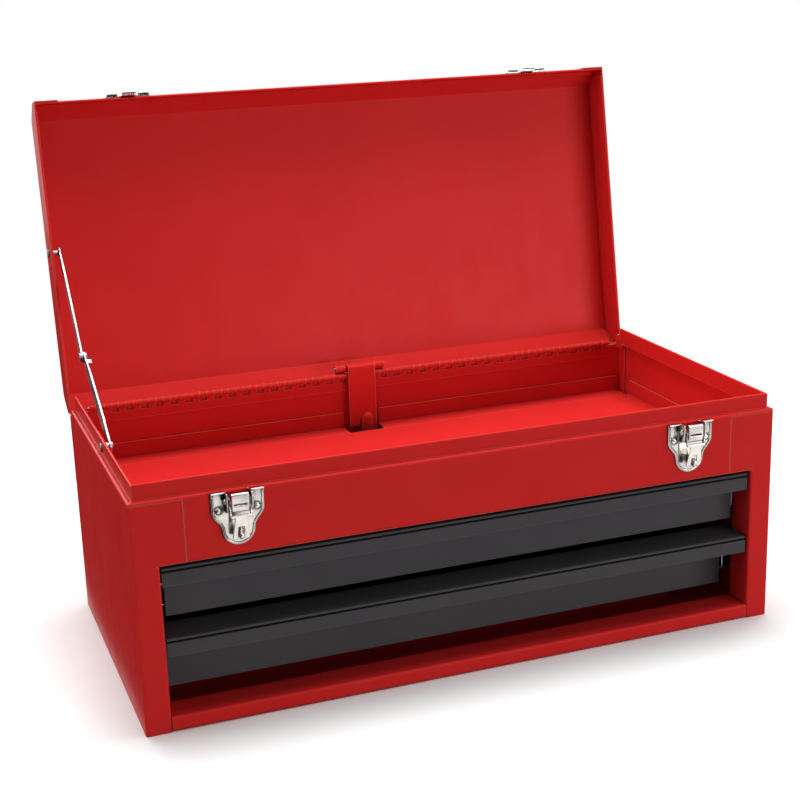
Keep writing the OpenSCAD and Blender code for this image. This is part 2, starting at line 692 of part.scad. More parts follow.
module lever_pivots() color(nickel) for (s = [-1, 1]) at_latch(s) for (e = [-1, 1]) {
  mirror([e > 0 ? 1 : 0, 0, 0]) union() {
    rod_x(-ear_in - ear_t - latch_play, -wing_in + latch_play, lever_pin_r, -lever_out, pivot_z);
    rod_x(-ear_in - 2 * ear_t, -ear_in - ear_t, 1.6 * lever_pin_r, -lever_out, pivot_z);
  }
}

// The lever: two wings carry the pivots, and its plate slopes back towards the body at its foot
lever_plate_top = claw_pin_z - claw_roll_r - 1.1 * latch_plate;
plate_out_top = claw_pin_out + claw_roll_r + 0.4 * latch_plate;
plate_out_foot = 6.5;
lever_tilt = atan2(plate_out_top - plate_out_foot, lever_plate_top - lever_foot_z);
plate_len = norm([plate_out_top - plate_out_foot, lever_plate_top - lever_foot_z]);
wing_r = 2 * lever_pin_r;
fork_half = 2.2;
fork_h = 10.5;
prong_r = 2;
bar_h = 2.4;
bar_inset = latch_plate / 4;
neck_half = 4.7;

// Outline of the lever's plate: a bar across the wings, a neck, and two prongs
module lever_outline() {
  foot_half = fork_half + 2 * prong_r;
  difference() {
    union() {
      translate([bar_inset - lever_w / 2, plate_len - bar_h]) square([lever_w - 2 * bar_inset, bar_h]);
      polygon([[-foot_half, prong_r], [foot_half, prong_r], [neck_half, plate_len - bar_h - sheet],
        [neck_half, plate_len - sheet], [-neck_half, plate_len - sheet], [-neck_half, plate_len - bar_h - sheet]]);
      for (s = [-1, 1]) translate([s * (fork_half + prong_r), prong_r]) circle(prong_r);
    }
    translate([-fork_half, -sheet]) square([2 * fork_half, fork_h + sheet]);
  }
}

module latch_lever(s) color(nickel) at_latch(s) difference() {
  union() {
    for (e = [-1, 1]) mirror([e > 0 ? 1 : 0, 0, 0]) out_section(-lever_w / 2, -wing_in) {
      translate([lever_out, pivot_z]) circle(wing_r);
      translate([claw_pin_out, claw_pin_z]) circle(wing_r);
      polygon([[lever_out - 0.8 * wing_r, pivot_z], [lever_out + 0.8 * wing_r, pivot_z],
        [claw_pin_out + 0.8 * wing_r, claw_pin_z], [plate_out_top + latch_plate / 2, lever_plate_top - bar_h / 3],
        [plate_out_top + latch_plate / 3 - bar_h * sin(lever_tilt), lever_plate_top - 0.8 * bar_h],
        [plate_out_top - bar_h, lever_plate_top - bar_h / 3], [claw_pin_out - 0.8 * wing_r, claw_pin_z]]);
    }
    translate([0, -plate_out_foot, lever_foot_z]) rotate([lever_tilt, 0, 0]) rotate([90, 0, 0])
      linear_extrude(latch_plate) lever_outline();
  }
  rod_x(-latch_w, latch_w, lever_pin_r + latch_play, -lever_out, pivot_z);
  rod_x(-latch_w, latch_w, claw_pin_r + latch_play / 2, -claw_pin_out, claw_pin_z);
}
module latch_lever_left() latch_lever(-1);
module latch_lever_right() latch_lever(1);

module claw_pin(s) color(nickel) at_latch(s)
  rod_x(-lever_w / 2 - latch_play, lever_w / 2 + latch_play, claw_pin_r, -claw_pin_out, claw_pin_z);
module claw_pin_left() claw_pin(-1);
module claw_pin_right() claw_pin(1);

// The claw's plate rises from its roll and turns in over the catch
claw_plate_out = claw_pin_out + claw_roll_r - latch_plate / 2;
claw_top = base_top - latch_plate / 2;
claw_turn = 1.4 * latch_plate;
catch_lip_out = claw_plate_out - claw_turn - latch_plate - catch_gap;

module latch_claw(s) color(nickel) at_latch(s) difference() {
  union() {
    rod_x(-claw_half, claw_half, claw_roll_r, -claw_pin_out, claw_pin_z);
    out_section(-claw_half, claw_half) folded([[claw_plate_out, claw_pin_z], [claw_plate_out, claw_top],
      [claw_plate_out - claw_turn, claw_top], [claw_plate_out - claw_turn, claw_top - 1.6 * latch_plate]],
      [0.6 * latch_plate, 0.6 * latch_plate], latch_plate);
  }
  rod_x(-latch_w, latch_w, claw_pin_r + latch_play, -claw_pin_out, claw_pin_z);
  out_section(-claw_half + 1.4 * latch_plate, claw_half - 1.4 * latch_plate)
    translate([claw_pin_out, claw_pin_z + claw_roll_r + latch_plate]) square([2 * claw_roll_r, 1.5 * latch_plate]);
}
module latch_claw_left() latch_claw(-1);
module latch_claw_right() latch_claw(1);

// The catch on the lid: a riveted plate with lips at its foot and a tongue turned out under the claw
catch_rivet_z = (lid_foot + skirt_top) / 2;
catch_foot = lid_foot + sheet / 4;
catch_top = skirt_top - sheet / 2;
catch_lip = 3.4;
tongue_z = claw_top - 3.4 * latch_plate;
tongue_out = lid_over + latch_t - latch_plate / 2;
module catch_plate(s) color(nickel) lid_swing() at_latch(s) difference() {
  union() {
    block([-latch_w / 2 + sheet, -latch_t - lid_over, catch_foot], [latch_w / 2 - sheet, -lid_over, catch_top]);
    for (e = [-1, 1]) mirror([e > 0 ? 1 : 0, 0, 0])
      block([-latch_w / 2 + 1.5 * sheet, -catch_lip - lid_over, catch_foot],
        [-ear_in, -lid_over, catch_foot + latch_plate]);
    out_section(-claw_half + latch_side_play, claw_half - latch_side_play)
      folded([[tongue_out, catch_foot + 2 * latch_plate], [tongue_out, tongue_z],
        [catch_lip_out - latch_plate / 2, tongue_z],
        [catch_lip_out - latch_plate / 2, tongue_z + 2.6 * latch_plate]],
        [0.8 * latch_plate, 0.8 * latch_plate], latch_plate);
  }
  for (e = [-1, 1]) translate([e * latch_rivet_x, -lid_over, catch_rivet_z]) rotate([90, 0, 0])
    cylinder(r = latch_rivet_r / 2, h = 4 * latch_t, center = true);
}
module catch_left() catch_plate(-1);
module catch_right() catch_plate(1);
module catch_rivets() color(nickel) lid_swing() for (s = [-1, 1]) at_latch(s)
  for (e = [-1, 1]) translate([e * latch_rivet_x, -lid_over, catch_rivet_z]) rivet_y(latch_rivet_r, latch_t);

// ---- Folding lid stay, inside the left end ----

stay_body = [hinge_y - sqrt(pow(stay_reach, 2) - pow(stay_body_up, 2)), hinge_z + stay_body_up];
stay_lid_shut = [hinge_y - sqrt(pow(stay_reach, 2) - pow(stay_lid_up, 2)), hinge_z + stay_lid_up];
stay_lid = swung(stay_lid_shut);
stay_span = stay_lid - stay_body;
stay_dir = unit(stay_span);
elbow = (stay_body + stay_lid) / 2 + stay_bow * [stay_dir.y, -stay_dir.x];
rim_inner_x = -half_w + shoulder_w + 2 * sheet + 0.12 * sheet;
upper_arm_x = rim_inner_x + stay_inset;
lower_arm_x = upper_arm_x + arm_t + stay_gap;
stay_bore_r = stay_pin_r + 0.06;

// A flat arm between two points, wider at its middle, with a running bore at one end
module arm(x0, p, q, w_mid, bored) {
  d = q - p;
  len = norm(d);
  neck = 0.8 * arm_end_r;
  difference() {
    union() {
      along_x(x0, x0 + arm_t) translate(p) rotate(atan2(d.y, d.x))
        polygon([[0, neck], [len / 4, w_mid / 2], [3 * len / 4, w_mid / 2], [len, neck],
          [len, -neck], [3 * len / 4, -w_mid / 2], [len / 4, -w_mid / 2], [0, -neck]]);
      for (c = [p, q]) rod_x(x0, x0 + arm_t, arm_end_r, c.x, c.y);
    }
    for (c = [p, q]) rod_x(x0 - sheet, x0 + arm_t + sheet, c == bored ? stay_bore_r : stay_pin_r, c.x, c.y);
  }
}
module stay_lower_arm() color(zinc) {
  d = unit(elbow - stay_body);
  n = [-d.y, d.x];
  arm(lower_arm_x, stay_body, elbow, lower_arm_w, stay_body);
  // Stop tab, bent inwards beside the elbow
  tab = elbow - 3 * arm_end_r * d + lower_arm_w / 4 * n;
  along_x(lower_arm_x, lower_arm_x + 3 * arm_t) translate(tab) rotate(atan2(d.y, d.x)) square([arm_end_r, arm_t]);
}
module stay_upper_arm() color(zinc) arm(upper_arm_x, elbow, stay_lid, upper_arm_w, stay_lid);

// The elbow's rivet is in two halves that meet between the arms
module elbow_rivet_lower() color(zinc) union() {
  rod_x(lower_arm_x, lower_arm_x + arm_t, stay_pin_r, elbow.x, elbow.y);
  rod_x(lower_arm_x + arm_t, lower_arm_x + arm_t + stay_head_t, stay_head_r, elbow.x, elbow.y);
}
module elbow_rivet_upper() color(zinc) union() {
  rod_x(upper_arm_x, upper_arm_x + arm_t, stay_pin_r, elbow.x, elbow.y);
  rod_x(upper_arm_x - stay_head_t, upper_arm_x, stay_head_r, elbow.x, elbow.y);
}
module stay_body_pin() color(zinc) union() {
  rod_x(-half_w + shoulder_w - stay_head_t, -half_w + shoulder_w, stay_head_r, stay_body.x, stay_body.y);
  rod_x(rim_inner_x, lower_arm_x - stay_gap / 2, stay_head_r, stay_body.x, stay_body.y);
  rod_x(-half_w + shoulder_w - stay_head_t / 2, lower_arm_x + arm_t + stay_head_t, stay_pin_r, stay_body.x, stay_body.y);
  rod_x(lower_arm_x + arm_t + stay_gap / 2, lower_arm_x + arm_t + stay_head_t, stay_head_r, stay_body.x, stay_body.y);
}
module stay_lid_pin() color(zinc) union() {
  rod_x(-half_w - stay_head_t, -half_w, stay_head_r, stay_lid.x, stay_lid.y);
  rod_x(-half_w - stay_head_t / 2, upper_arm_x + arm_t + stay_gap / 3, stay_pin_r, stay_lid.x, stay_lid.y);
  rod_x(-half_w + sheet, upper_arm_x - stay_gap / 2, stay_head_r - stay_head_t, stay_lid.x, stay_lid.y);
}

// ---- Drawer lock ----

strap_left = strap_x - strap_w / 2;
strap_right = strap_x + strap_w / 2;
strap_side_gap = 1;
strap_plate_z = strap_pin_open.y + strap_roll_r - strap_t / 2;

module lock_strap() color(red_paint) {
  foot_cut = 8;
  foot_left = strap_foot + foot_cut;
  slit = 3;
  boss_x = strap_x + strap_w / 6;
  difference() {
    union() {
      along_x(strap_left, strap_right)
        folded([[strap_pin_open.x, strap_plate_z], [strap_y, strap_plate_z], [strap_y, strap_foot]],
          [1.5 * strap_t], strap_t);
      rod_x(strap_left, strap_right, strap_roll_r, strap_pin_open.x, strap_pin_open.y);
      // Pressed boss at the foot
      translate([boss_x, strap_y + boss_r / 4, strap_foot]) cylinder(r = boss_r, h = boss_h);
      translate([boss_x, strap_y + boss_r / 4, strap_foot + boss_h]) sphere(boss_r);
    }
    rod_x(strap_left - sheet, strap_right + sheet, strap_pin_r + hinge_play, strap_pin_open.x, strap_pin_open.y);
    block([strap_left - sheet, strap_y + strap_t / 2, strap_foot - sheet],
      [strap_right + sheet, half_d, strap_pin_open.y - strap_roll_r]);
    block([strap_left - sheet, strap_y - strap_t, strap_foot - sheet],
      [boss_x - boss_r - slit, strap_y + strap_t, foot_left]);
    block([boss_x - boss_r - slit, strap_y - strap_t, strap_foot - sheet],
      [boss_x - boss_r - slit / 3, strap_y + strap_t, foot_left + 2 * slit]);
  }
}

module lock_bracket() color(red_paint) lid_swing() {
  p = strap_pin_shut;
  leaf_y = half_d - 2 * sheet;
  arm_z = p.y + strap_roll_r - strap_t / 2;
  for (x0 = [strap_left - strap_side_gap - strap_knuckle_w, strap_right + strap_side_gap]) {
    difference() {
      union() {
        rod_x(x0, x0 + strap_knuckle_w, strap_roll_r, p.x, p.y);
        along_x(x0, x0 + strap_knuckle_w)
          folded([[p.x, arm_z], [leaf_y - strap_t / 2, arm_z], [leaf_y - strap_t / 2, hinge_z + leaf_h]],
            [strap_t], strap_t);
      }
      rod_x(x0 - sheet, x0 + strap_knuckle_w + sheet, strap_pin_r, p.x, p.y);
    }
  }
  block([strap_left - strap_side_gap - strap_knuckle_w, leaf_y - strap_t, hinge_z + leaf_h - 2 * strap_roll_r],
    [strap_right + strap_side_gap + strap_knuckle_w, leaf_y, hinge_z + leaf_h]);
}

module lock_pin() color(zinc)
  rod_x(strap_left - strap_side_gap - strap_knuckle_w - sheet, strap_right + strap_side_gap + strap_knuckle_w + sheet,
    strap_pin_r, strap_pin_open.x, strap_pin_open.y);

// ---- Carrying handle on the lid ----

handle_z = lid_top + handle_up;
handle_hang = lid_open - 90;
ear_gap = 1.5;
handle_ear_x = handle_half + rod_r + ear_gap;
trunnion_r = rod_r - 0.4;
trunnion_play = 0.08;

// The handle hangs straight down behind the open lid
module handle_frame() lid_swing() translate([0, 0, handle_z]) rotate([handle_hang, 0, 0]) children();

module handle_bail() color(zinc) handle_frame() {
  bend_r = 3 * rod_r;
  corner = handle_reach - bend_r;
  for (s = [-1, 1]) on_side(s) {
    translate([-handle_half, 0, 0]) sphere(rod_r);
    translate([-handle_half, 0, 0]) rotate([-90, 0, 0]) cylinder(r = rod_r, h = corner);
    translate([bend_r - handle_half, corner, 0]) rotate([0, 0, 90]) rotate_extrude(angle = 90)
      translate([bend_r, 0]) circle(rod_r);
    rod_x(-handle_ear_x - bracket_t - 2 * trunnion_play, -handle_half, trunnion_r);
    rod_x(-handle_ear_x - bracket_t - ear_gap - 2 * trunnion_play, -handle_ear_x - bracket_t - 2 * trunnion_play,
      1.5 * trunnion_r);
  }
  rod_x(bend_r - handle_half, handle_half - bend_r, rod_r, handle_reach, 0);
}

module handle_grip() color(black_grip) handle_frame() difference() {
  union() {
    rod_x(-grip_len / 2, grip_len / 2, grip_r - 1, handle_reach, 0);
    // Finger swells along the grip
    for (i = [-2 : 2]) rod_x(i * grip_len / 5 - grip_len / 14, i * grip_len / 5 + grip_len / 14, grip_r, handle_reach, 0);
  }
  rod_x(-grip_len, grip_len, rod_r + 0.02, handle_reach, 0);
}

module handle_bracket(s) color(zinc) lid_swing() on_side(s) {
  foot = 4 * rod_r;
  difference() {
    union() {
      block([-handle_ear_x - 2.5 * foot, -foot, lid_top], [-handle_ear_x, foot, lid_top + bracket_t]);
      along_x(-handle_ear_x - bracket_t, -handle_ear_x) union() {
        translate([-foot * 0.7, lid_top]) square([1.4 * foot, handle_up]);
        translate([0, handle_z]) circle(foot * 0.7);
      }
    }
    rod_x(-half_w, 0, trunnion_r + trunnion_play, 0, handle_z);
  }
}
module handle_bracket_left() handle_bracket(-1);
module handle_bracket_right() handle_bracket(1);

// ---- Nodes ----

side_panel_left();
side_panel_right();
back_panel();
front_panel();
base_panel();
tray_floor();
tray_ledge_left();
tray_ledge_right();
runner_upper_left();
runner_upper_right();
runner_lower_left();
runner_lower_right();
hinge_body_leaf();
hinge_pin();
stay_body_pin();
latch_base_left();
latch_base_right();
latch_rivets();
lever_pivots();
lid_panel();
lid_end_left();
lid_end_right();
hinge_lid_leaf();
catch_left();
catch_right();
catch_rivets();
stay_lid_pin();
lock_bracket();
lock_pin();
handle_bracket_left();
handle_bracket_right();
handle_bail();
handle_grip();
stay_lower_arm();
stay_upper_arm();
elbow_rivet_lower();
elbow_rivet_upper();
lock_strap();
drawer_upper_pan();
drawer_upper_front();
slide_upper_left();
slide_upper_right();
drawer_lower_pan();
drawer_lower_front();
slide_lower_left();
slide_lower_right();
latch_lever_left();
latch_lever_right();
latch_claw_left();
latch_claw_right();
claw_pin_left();
claw_pin_right();
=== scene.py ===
# %% [markdown]
# # A folded steel tool box, dressed in Blender
#
# The solids come from the CAD model and already have their real size and place. This lesson gives
# them their finishes: two enamels, two platings and a moulded grip. It then adds the pressed rims of
# the latches and a small tab at each end of the hinge, and sets up a plain studio.

import json
import math

import bmesh
import bpy
from mathutils import Matrix, Vector


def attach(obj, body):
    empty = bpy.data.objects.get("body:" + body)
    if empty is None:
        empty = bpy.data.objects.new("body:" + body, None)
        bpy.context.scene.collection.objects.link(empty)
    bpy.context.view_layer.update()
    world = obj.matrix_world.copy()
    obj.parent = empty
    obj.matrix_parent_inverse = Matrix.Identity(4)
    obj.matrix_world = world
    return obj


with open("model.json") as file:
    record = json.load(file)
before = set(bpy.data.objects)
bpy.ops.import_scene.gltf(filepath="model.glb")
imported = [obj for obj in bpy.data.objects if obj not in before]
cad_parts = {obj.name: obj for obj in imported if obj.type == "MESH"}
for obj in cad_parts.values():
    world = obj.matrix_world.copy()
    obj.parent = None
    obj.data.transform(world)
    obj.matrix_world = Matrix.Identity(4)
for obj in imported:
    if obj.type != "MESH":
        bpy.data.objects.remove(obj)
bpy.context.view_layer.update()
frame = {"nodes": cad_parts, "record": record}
nodes = frame["nodes"]
MM = 0.001

# %% [markdown]
# A material is a small network of nodes. It could be wired by hand, two lines for each node. Here a
# helper makes each node and joins its inputs in one line, so that a finish can be read from top to
# bottom. Every finish starts from the object's own coordinates, in metres, scaled so that one unit
# of noise is a chosen number of millimetres. The pattern then stays on its piece when that moves.

# %% Helpers that make nodes


def node_adder(tree):
    """A function that adds a node with its settings and inputs to a tree.

    An input is named after its socket, or i0, i1 and so on where a node repeats a name.
    """

    def add(kind, settings=None, **inputs):
        node = tree.nodes.new(kind)
        for key, value in (settings or {}).items():
            setattr(node, key, value)
        for key, value in inputs.items():
            numbered = key[0] == "i" and key[1:].isdigit()
            socket = node.inputs[int(key[1:]) if numbered else key.replace("_", " ")]
            if isinstance(value, bpy.types.NodeSocket):
                tree.links.new(value, socket)
            else:
                socket.default_value = value
        return node

    return add


def new_material(name):
    """An empty Principled material, with what is needed to build on it."""
    material = bpy.data.materials.new(name)
    material.use_nodes = True
    tree = material.node_tree
    add = node_adder(tree)
    coords = add("ShaderNodeTexCoord").outputs["Object"]
    return material, tree, tree.nodes["Principled BSDF"], coords, add


# %% Helpers for patterns
COLOUR_A, COLOUR_B, COLOUR_MIX = 6, 7, 2  # the Mix node's sockets for colours


def noise_of(add, coords, size_mm, detail, stretch=(1, 1, 1)):
    """Noise whose blotches are about size_mm across, stretched along an axis if asked."""
    scale = [1 / (size_mm * MM * s) for s in stretch]
    mapped = add("ShaderNodeMapping", Vector=coords, Scale=scale).outputs["Vector"]
    noise = add("ShaderNodeTexNoise", Vector=mapped, Scale=1.0, Detail=detail, Roughness=0.5)
    return noise.outputs["Fac"]


def ramp_of(add, fac, low, high):
    """The factor stretched so that low becomes 0 and high becomes 1."""
    return add("ShaderNodeMapRange", i0=fac, i1=low, i2=high, i3=0.0, i4=1.0).outputs["Result"]


def value_between(add, fac, low, high):
    """A number that runs from low to high as fac runs from 0 to 1."""
    return add("ShaderNodeMapRange", i0=fac, i1=0.0, i2=1.0, i3=low, i4=high).outputs["Result"]


def mixed(add, fac, a, b):
    """Colour a where fac is 0 and colour b where it is 1."""
    node = add("ShaderNodeMix", {"data_type": "RGBA"}, i0=fac)
    for index, value in ((COLOUR_A, a), (COLOUR_B, b)):
        if isinstance(value, bpy.types.NodeSocket):
            node.id_data.links.new(value, node.inputs[index])
        else:
            node.inputs[index].default_value = (*value, 1.0)
    return node.outputs[COLOUR_MIX]


def near_edges(add, radius_mm, low, high):
    """1 along edges and folds and 0 on flats, from how far the rounded normal leaves the flat one."""
    rounded = add("ShaderNodeBevel", {"samples": 6}, Radius=radius_mm * MM).outputs["Normal"]
    flat = add("ShaderNodeNewGeometry").outputs["True Normal"]
    agree = add("ShaderNodeVectorMath", {"operation": "DOT_PRODUCT"}, i0=rounded, i1=flat)
    return ramp_of(add, agree.outputs["Value"], 1 - low, 1 - high), rounded


def crevices(add, reach_mm):
    """An occlusion mask for painted shade: 1 in the open and less in corners and narrow gaps."""
    return add("ShaderNodeAmbientOcclusion", {"samples": 6}, Distance=reach_mm * MM).outputs["AO"]


def set_surface(tree, shader, colour, roughness, normal):
    """Join the finished patterns to the shader."""
    for name, value in (("Base Color", colour), ("Roughness", roughness), ("Normal", normal)):
        tree.links.new(value, shader.inputs[name])


# %% [markdown]
# ## Enamel
#
# The panels are painted after they are folded. Baked enamel is glossy but never quite flat: it has a
# faint orange peel and specks of dust, it pools a little darker in places, and handling leaves a
# thin haze that makes the gloss uneven. Along the folds a painted highlight lightens the colour,
# and painted shade darkens the corners. A plain colour with an even gloss would be simpler, but the
# sheet would look like plastic.

# %% Red and charcoal enamel
ORANGE_PEEL = 0.25
ENAMEL_SHEEN = 0.04


def enamel(name, colour, deep, dust, fold_highlight, gloss, haze):
    material, tree, shader, coords, add = new_material(name)
    pooled = ramp_of(add, noise_of(add, coords, size_mm=55, detail=2.0), 0.35, 0.7)
    specks = ramp_of(add, noise_of(add, coords, size_mm=1.6, detail=4.0), 0.66, 0.8)
    base = mixed(add, pooled, colour, deep)
    base = mixed(add, value_between(add, specks, 0.0, 0.35), base, dust)
    # Painted highlight: the colour is lightened along edges and folds.
    folds, rounded = near_edges(add, radius_mm=1.1, low=0.02, high=0.3)
    base = mixed(add, value_between(add, folds, 0.0, 0.8), base, fold_highlight)
    # Painted shade: the colour is darkened towards a dark copy of the paint in corners and narrow gaps.
    free_of_painted_shade = ramp_of(add, crevices(add, reach_mm=5), 0.15, 0.75)
    base = mixed(add, free_of_painted_shade, [0.35 * c for c in deep], base)
    smear = noise_of(add, coords, size_mm=24, detail=5.0, stretch=(1, 1, 2.5))
    roughness = value_between(add, ramp_of(add, smear, 0.38, 0.66), gloss, haze)
    peel = noise_of(add, coords, size_mm=2.2, detail=2.0)
    bump = add("ShaderNodeBump", Strength=ORANGE_PEEL, Distance=0.1 * MM, Height=peel, Normal=rounded)
    set_surface(tree, shader, base, roughness, bump.outputs["Normal"])
    shader.inputs["Specular IOR Level"].default_value = ENAMEL_SHEEN
    return material


RED = enamel(
    "red_enamel",
    colour=(0.55, 0.020, 0.018),
    deep=(0.53, 0.018, 0.017),
    dust=(0.60, 0.05, 0.04),
    # the colour of the painted highlight on the folds
    fold_highlight=(1.0, 0.34, 0.22),
    gloss=0.30,
    haze=0.36,
)
CHARCOAL = enamel(
    "charcoal_enamel",
    colour=(0.060, 0.057, 0.060),
    deep=(0.055, 0.052, 0.055),
    dust=(0.09, 0.09, 0.09),
    # the colour of the painted highlight on the folds
    fold_highlight=(0.20, 0.20, 0.21),
    gloss=0.40,
    haze=0.48,
)
print("enamels:", RED.name, CHARCOAL.name)

# %% [markdown]
# ## Plated steel
#
# The latches and catches are nickel plated and bright. The rails, stay, handle and hinge pin are
# zinc plated, which is greyer and duller. Both are metal, so their colour is the colour of the
# reflection. Fine scratches along one direction and cloudy patches break the mirror up, and painted
# shade darkens the recesses. Softening the edges in the shader costs less than a bevel on every
# small solid.

# %% Nickel and zinc
SCRATCH_STRETCH = 25


def plating(name, colour, cloud, low, high, scratch_axis):
    material, tree, shader, coords, add = new_material(name)
    patches = ramp_of(add, noise_of(add, coords, size_mm=9, detail=4.0), 0.35, 0.68)
    # Painted shade: the colour is darkened towards a dark copy of the plating in corners and narrow gaps.
    free_of_painted_shade = ramp_of(add, crevices(add, reach_mm=5), 0.35, 0.95)
    base = mixed(add, free_of_painted_shade, [0.07 * c for c in colour], mixed(add, patches, colour, cloud))
    stretch = [1, 1, 1]
    stretch[scratch_axis] = SCRATCH_STRETCH
    scratches = noise_of(add, coords, size_mm=0.5, detail=3.0, stretch=stretch)
    edge = add("ShaderNodeBevel", {"samples": 8}, Radius=1.3 * MM).outputs["Normal"]
    bump = add("ShaderNodeBump", Strength=0.18, Distance=0.03 * MM, Height=scratches, Normal=edge)
    set_surface(tree, shader, base, value_between(add, patches, low, high), bump.outputs["Normal"])
    shader.inputs["Metallic"].default_value = 1.0
    return material


NICKEL = plating(
    "nickel_plate", colour=(0.66, 0.63, 0.59), cloud=(0.54, 0.51, 0.47), low=0.10, high=0.20, scratch_axis=2
)
ZINC = plating(
    "zinc_plate", colour=(0.66, 0.67, 0.68), cloud=(0.52, 0.53, 0.55), low=0.26, high=0.42, scratch_axis=1
)
print("platings:", NICKEL.name, ZINC.name)

# %% [markdown]
# ## The grip
#
# The handle's grip is a black moulding with a matt, slightly pebbled skin. Hands rub it smoother and
# a little paler in places. Noise in the bump is enough for the pebbles, which are too fine to model.

# %% Moulded grip


def moulding(name, colour):
    material, tree, shader, coords, add = new_material(name)
    rubbed = ramp_of(add, noise_of(add, coords, size_mm=14, detail=3.0), 0.4, 0.7)
    base = mixed(add, rubbed, colour, [2.2 * c for c in colour])
    pebbles = noise_of(add, coords, size_mm=0.7, detail=1.0)
    bump = add("ShaderNodeBump", Strength=0.4, Distance=0.15 * MM, Height=pebbles)
    set_surface(tree, shader, base, value_between(add, rubbed, 0.62, 0.45), bump.outputs["Normal"])
    return material


GRIP = moulding("black_grip", colour=(0.018, 0.018, 0.018))
print("moulding:", GRIP.name)

# %% [markdown]
# ## Finishes on the solids
#
# The record says which finish each solid takes. Their meshes stay as they are, so only the material
# in each slot is changed.

# %% Dress the solids
FINISH = {
    "red_paint": RED,
    "drawer_paint": CHARCOAL,
    "nickel_steel": NICKEL,
    "zinc_steel": ZINC,
    "grip_black": GRIP,
}
for part in frame["record"]["subparts"]:
    for place in nodes[part["node"]].material_slots:
        place.material = FINISH[part["material_slot"]]

# %% [markdown]
# ## Pressed rims on the latches
#
# The latch bases are pressed from thin plate, and the press leaves a raised rim along the outline and
# a small collar around each rivet. A curve with a round bevel could draw them, but half of it would
# lie inside the plate. Here a half round section is set along the path, and each section is bridged
# to the next. The rim keeps a constant distance from the outline: straight shoulders, a smooth waist
# and a round tip.

# %% Path of the rim, in millimetres
LATCH_X, FACE_Y = 182.5, -129.4
SHOULDER, TOP_Z, WAIST_Z, TIP_Z, TIP_R = 19.3, 177.3, 163.4, 149.5, 12.0
RIM_INSET, SHOULDER_STEP, WAIST_STEPS = 1.3, 3.4, 14


def half_width(z):
    """Half width of the latch base, which narrows from its shoulders to its tip in a smooth wave."""
    t = min(max((z - TIP_Z) / (WAIST_Z - TIP_Z), 0.0), 1.0)
    return TIP_R + (SHOULDER - TIP_R) * (1 - math.cos(math.pi * t)) / 2


def arc(centre_x, centre_z, radius, angles):
    """Points on a circle, at angles in degrees."""
    turns = [math.radians(a) for a in angles]
    return [(centre_x + radius * math.cos(t), centre_z + radius * math.sin(t)) for t in turns]


def rim_path():
    """Points along the rim from the top left, around the tip, to the top right, in x and z."""
    left = [(RIM_INSET - SHOULDER, TOP_Z - SHOULDER_STEP * i) for i in range(4)]
    for i in range(WAIST_STEPS + 1):
        z = WAIST_Z - (WAIST_Z - TIP_Z) * i / WAIST_STEPS
        slope = (half_width(z + 0.1) - half_width(z - 0.1)) / 0.2
        length = math.hypot(1, slope)
        left.append((RIM_INSET / length - half_width(z), z + RIM_INSET * slope / length))
    tip = arc(0, TIP_Z, TIP_R - RIM_INSET, range(190, 351, 10))
    return left + tip + [(-x, z) for x, z in reversed(left)]


print("points on the rim's path:", len(rim_path()))

# %% A ridge along a path, and an object from a shape
ARC_STEPS = 6
FOOT = 0.05  # how far a ridge's foot lies inside the plate's face


def ridge(shape, path, width, height, closed=False):
    """A half round ridge, proud of the latch's face, along a path."""
    before = [path[-1] if closed else path[0]] + path[:-1]
    after = path[1:] + [path[0] if closed else path[-1]]
    loops = []
    for (x, z), start, end in zip(path, before, after):
        along = Vector((end[0] - start[0], 0, end[1] - start[1])).normalized()
        across = Vector((-along.z, 0, along.x)) * width / 2
        section = []
        for k in range(ARC_STEPS + 1):
            turn = math.pi * k / ARC_STEPS
            spot = Vector((x, FACE_Y + FOOT - height * math.sin(turn), z)) + across * math.cos(turn)
            section.append(shape.verts.new(spot * MM))
        loops.append([shape.edges.new(pair) for pair in zip(section, section[1:] + section[:1])])
    for near, far in zip(loops, loops[1:]):
        bmesh.ops.bridge_loops(shape, edges=near + far)
    if closed:
        bmesh.ops.bridge_loops(shape, edges=loops[-1] + loops[0])
    else:
        bmesh.ops.edgeloop_fill(shape, edges=loops[0] + loops[-1])


def mesh_object(name, shape, material, smooth=False):
    """An object in the scene with the shape as its mesh. The shape is used up."""
    mesh = bpy.data.meshes.new(name)
    shape.to_mesh(mesh)
    shape.free()
    if smooth:
        mesh.shade_smooth()
    mesh.materials.append(material)
    made = bpy.data.objects.new(name, mesh)
    bpy.context.scene.collection.objects.link(made)
    return made


# %% Latch rims
RIM_WIDTH, RIM_HEIGHT = 1.6, 0.55
RIVET_X, RIVET_Z = 14.0, 164.83
COLLAR_R, COLLAR_WIDTH, COLLAR_HEIGHT = 3.5, 0.9, 0.4

for side, sign in (("left", -1), ("right", 1)):
    shape = bmesh.new()
    ridge(shape, rim_path(), RIM_WIDTH, RIM_HEIGHT)
    for rivet in (-1, 1):
        collar = arc(rivet * RIVET_X, RIVET_Z, COLLAR_R, range(0, 360, 15))
        ridge(shape, collar, COLLAR_WIDTH, COLLAR_HEIGHT, closed=True)
    bmesh.ops.recalc_face_normals(shape, faces=shape.faces)
    bmesh.ops.translate(shape, verts=shape.verts, vec=(sign * LATCH_X * MM, 0, 0))
    rim = mesh_object("latch_rim_" + side, shape, NICKEL, smooth=True)
    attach(rim, "box")
    print(rim.name, len(rim.data.polygons), "faces")

# %% [markdown]
# ## Rim tabs
#
# At the back the rim of each side panel ends in a small tab that reaches the back panel and closes
# the corner beside the hinge. It is flat sheet with a rounded top, so its outline is drawn once and
# extruded by the sheet's thickness.

# %% Rim tabs, in millimetres
TAB_X, TAB_T = 254.05, 0.9
TAB_OUTLINE = [  # y and z, along the foot to the back, then up and forwards over the rounded top
    (115, 172), (125.5, 172), (125.5, 177), (125.1, 178.6), (124.2, 180.2),
    (122.4, 182.8), (121, 184.3), (119.2, 185.3), (117, 185.8), (115, 186),
]

